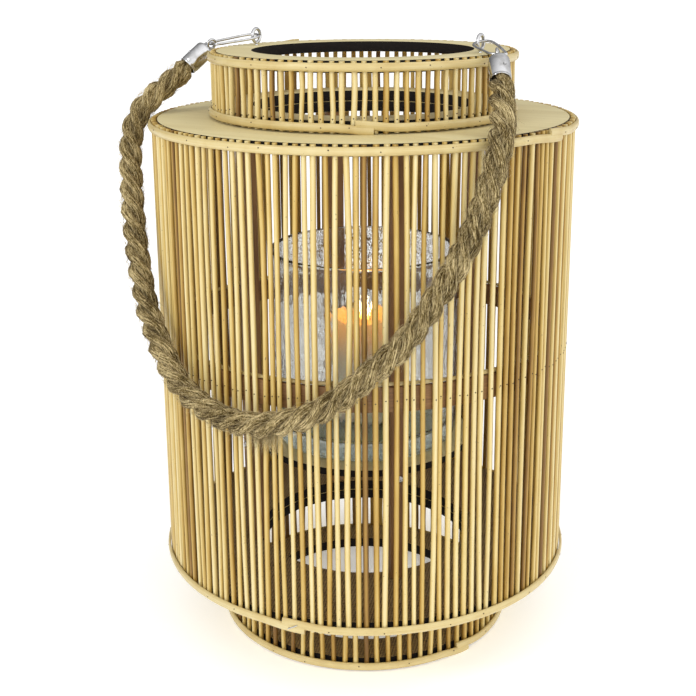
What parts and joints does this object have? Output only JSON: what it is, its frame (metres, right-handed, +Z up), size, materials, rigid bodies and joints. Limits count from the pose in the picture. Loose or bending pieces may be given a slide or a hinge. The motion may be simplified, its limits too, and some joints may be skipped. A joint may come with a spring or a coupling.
{
  "type": "candle lantern",
  "caption": "Round lantern of upright rattan rods with a rope handle; a glass jar with a pillar candle stands on a shelf inside.",
  "frame": {"origin": "centre of the base, on the surface that the lantern stands on", "axes": "+Z up along the lantern's axis; the handle's screw eyes are on the X axis; the rope hangs over the front, towards -Y"},
  "size_m": [0.29, 0.3078, 0.4189],
  "materials": {
    "plywood": "pale sanded plywood, its outer and inner edges painted black",
    "rattan_band": "half-round rattan skin, natural satin",
    "rattan_rod": "natural peeled bamboo and rattan sticks, satin, each a little different",
    "brown_wood": "brown stained wood",
    "shelf_board": "plywood disc with a black painted edge",
    "zinc_steel": "zinc plated",
    "jar_glass": "clear rippled glass with a slightly green thick base",
    "candle_wax": "cream candle wax, glowing orange round the flame",
    "wick_cotton": "burnt cotton wick",
    "bright_steel": "bright nickel plate",
    "jute_rope": "three-strand twisted jute, hairy"
  },
  "bodies": {
    "root": {"foot_bottom_plate": "plywood", "foot_bottom_band": "rattan_band", "foot_top_plate": "plywood", "body_bottom_plate": "plywood", "body_bottom_band": "rattan_band", "body_top_plate": "plywood", "body_top_band": "rattan_band", "collar_bottom_plate": "plywood", "collar_bottom_band": "rattan_band", "collar_top_plate": "plywood", "collar_top_band": "rattan_band", "foot_rods_01": "rattan_rod", "foot_rods_02": "rattan_rod", "foot_rods_03": "rattan_rod", "foot_rods_04": "rattan_rod", "foot_rods_05": "rattan_rod", "foot_rods_06": "rattan_rod", "body_rods_01": "rattan_rod", "body_rods_02": "rattan_rod", "body_rods_03": "rattan_rod", "body_rods_04": "rattan_rod", "body_rods_05": "rattan_rod", "body_rods_06": "rattan_rod", "body_rods_07": "rattan_rod", "body_rods_08": "rattan_rod", "body_rods_09": "rattan_rod", "body_rods_10": "rattan_rod", "collar_rods_01": "rattan_rod", "collar_rods_02": "rattan_rod", "collar_rods_03": "rattan_rod", "collar_rods_04": "rattan_rod", "collar_rods_05": "rattan_rod", "collar_rods_06": "rattan_rod", "mid_hoop": "brown_wood", "hoop_bead": "rattan_rod", "post_back_right": "brown_wood", "post_back_left": "brown_wood", "post_front_left": "brown_wood", "post_front_right": "brown_wood", "shelf": "shelf_board", "shelf_screw_back_right": "zinc_steel", "shelf_screw_back_left": "zinc_steel", "shelf_screw_front_left": "zinc_steel", "shelf_screw_front_right": "zinc_steel", "screw_eye_left": "bright_steel", "screw_eye_right": "bright_steel"},
    "jar": {"glass_jar": "jar_glass"},
    "candle": {"candle": "candle_wax", "wick": "wick_cotton"},
    "links": {"link_left": "bright_steel", "link_right": "bright_steel"},
    "handle": {"rope_handle": "jute_rope", "ferrule_left": "bright_steel", "ferrule_right": "bright_steel", "set_screw_left": "zinc_steel", "set_screw_right": "zinc_steel"}
  },
  "joints": [
    {"name": "links_swing", "type": "hinge", "parent": "root", "child": "links", "pos_m": [-0.086, 0, 0.413], "axis": [-1, 0, 0], "range_deg": [0, 180]},
    {"name": "rope_tilt", "type": "hinge", "parent": "links", "child": "handle", "pos_m": [-0.1081, -0.0233, 0.4079], "axis": [-1, 0, 0], "range_deg": [0, 85]},
    {"name": "jar_lift", "type": "slide", "parent": "root", "child": "jar", "axis": [0, 0, 1], "range_m": [0, 0.29]},
    {"name": "candle_lift", "type": "slide", "parent": "jar", "child": "candle", "axis": [0, 0, 1], "range_m": [0, 0.28]}
  ]
}
